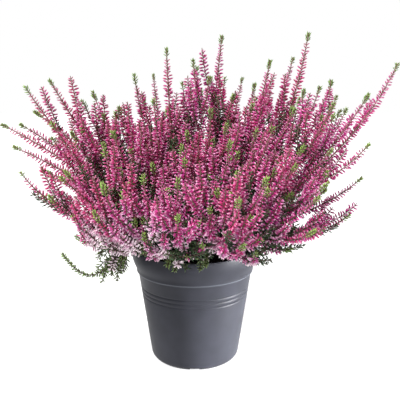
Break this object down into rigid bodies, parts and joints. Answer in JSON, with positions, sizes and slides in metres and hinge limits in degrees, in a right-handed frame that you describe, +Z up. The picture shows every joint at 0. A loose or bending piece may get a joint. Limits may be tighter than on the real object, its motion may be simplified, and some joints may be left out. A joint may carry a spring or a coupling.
{
  "type": "potted heather",
  "caption": "Bud-flowering heather in a tapered nursery pot: forked sprays set with buds rise from the compost, fan out over the rim and end in green tips.",
  "frame": {"origin": "middle of the pot's foot, on the surface that it stands on", "axes": "+Z up, +X along the plant's widest spread, +Y to the back, away from the side that is shown"},
  "size_m": [0.396, 0.322, 0.332],
  "materials": {
    "grey_plastic": "satin moulded grey plastic",
    "compost": "dark crumbly peat",
    "flowering_shoot": "woody stems with magenta to pale pink buds and green tips",
    "leafy_shoot": "slim stems with small dark green scale leaves"
  },
  "bodies": {
    "root": {"pot": "grey_plastic", "compost": "compost", "tall_flower_spray_01": "flowering_shoot", "tall_flower_spray_02": "flowering_shoot", "tall_flower_spray_03": "flowering_shoot", "tall_flower_spray_04": "flowering_shoot", "tall_flower_spray_05": "flowering_shoot", "tall_flower_spray_06": "flowering_shoot", "tall_flower_spray_07": "flowering_shoot", "tall_flower_spray_08": "flowering_shoot", "tall_flower_spray_09": "flowering_shoot", "tall_flower_spray_10": "flowering_shoot", "tall_flower_spray_11": "flowering_shoot", "tall_flower_spray_12": "flowering_shoot", "tall_flower_spray_13": "flowering_shoot", "tall_flower_spray_14": "flowering_shoot", "tall_flower_spray_15": "flowering_shoot", "tall_flower_spray_16": "flowering_shoot", "tall_flower_spray_17": "flowering_shoot", "tall_flower_spray_18": "flowering_shoot", "tall_flower_spray_19": "flowering_shoot", "tall_flower_spray_20": "flowering_shoot", "tall_flower_spray_21": "flowering_shoot", "tall_flower_spray_22": "flowering_shoot", "tall_flower_spray_23": "flowering_shoot", "tall_flower_spray_24": "flowering_shoot", "tall_flower_spray_25": "flowering_shoot", "tall_flower_spray_26": "flowering_shoot", "tall_flower_spray_27": "flowering_shoot", "tall_flower_spray_28": "flowering_shoot", "tall_flower_spray_29": "flowering_shoot", "tall_flower_spray_30": "flowering_shoot", "tall_flower_spray_31": "flowering_shoot", "tall_flower_spray_32": "flowering_shoot", "tall_flower_spray_33": "flowering_shoot", "tall_flower_spray_34": "flowering_shoot", "tall_flower_spray_35": "flowering_shoot", "tall_flower_spray_36": "flowering_shoot", "tall_flower_spray_37": "flowering_shoot", "tall_flower_spray_38": "flowering_shoot", "tall_flower_spray_39": "flowering_shoot", "tall_flower_spray_40": "flowering_shoot", "tall_flower_spray_41": "flowering_shoot", "tall_flower_spray_42": "flowering_shoot", "tall_flower_spray_43": "flowering_shoot", "low_flower_spray_01": "flowering_shoot", "low_flower_spray_02": "flowering_shoot", "low_flower_spray_03": "flowering_shoot", "low_flower_spray_04": "flowering_shoot", "low_flower_spray_05": "flowering_shoot", "low_flower_spray_06": "flowering_shoot", "low_flower_spray_07": "flowering_shoot", "low_flower_spray_08": "flowering_shoot", "low_flower_spray_09": "flowering_shoot", "leafy_spray_01": "leafy_shoot", "leafy_spray_02": "leafy_shoot", "leafy_spray_03": "leafy_shoot", "leafy_spray_04": "leafy_shoot", "leafy_spray_05": "leafy_shoot", "leafy_spray_06": "leafy_shoot"}
  },
  "joints": []
}
